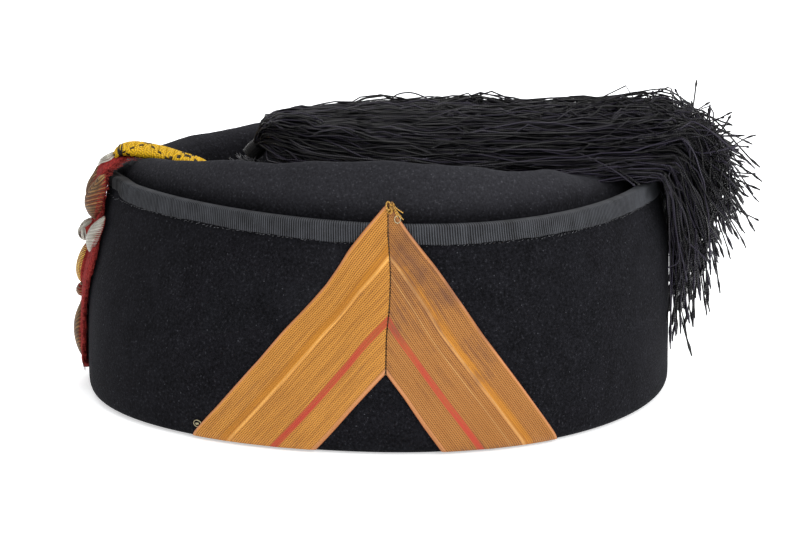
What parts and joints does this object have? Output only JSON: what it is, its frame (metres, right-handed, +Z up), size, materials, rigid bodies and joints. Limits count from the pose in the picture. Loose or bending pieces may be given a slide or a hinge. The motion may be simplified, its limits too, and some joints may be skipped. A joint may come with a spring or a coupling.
{
  "type": "fez",
  "caption": "Round black felt fez with a tall turned-up cuff, a ribbed edge ribbon, a gold lace chevron, an embroidered front badge with a braid, and a corded tassel.",
  "frame": {"origin": "middle of the hat's whole box, tassel and badge included, on the surface that its rim stands on", "axes": "+X from the front badge to the back, where the tassel hangs; +Y to the wearer's right; +Z up"},
  "size_m": [0.2374, 0.1934, 0.0989],
  "materials": {
    "felt": "dull black felt with a short nap",
    "ribbon": "ribbed charcoal ribbon",
    "lace": "tarnished gold lace tape with a red stripe",
    "backing": "red felt",
    "purl": "tarnished gold bullion wire",
    "silver": "silver bullion wire and cord",
    "satin": "yellow silk satin stitch",
    "braid": "yellow plait with dark flecks",
    "cord": "near-black twisted silk cord"
  },
  "bodies": {
    "root": {"felt_body": "felt", "ribbon_binding": "ribbon", "rank_chevron": "lace", "badge_backing": "backing", "badge_crest": "silver", "badge_plume_left": "purl", "badge_plume_right": "purl", "badge_spray_left": "silver", "badge_spray_right": "silver", "badge_knot": "silver", "badge_boss": "satin", "badge_tie": "purl", "badge_leaf_left": "purl", "badge_leaf_right": "purl", "front_braid": "braid", "tassel": "cord"}
  },
  "joints": []
}
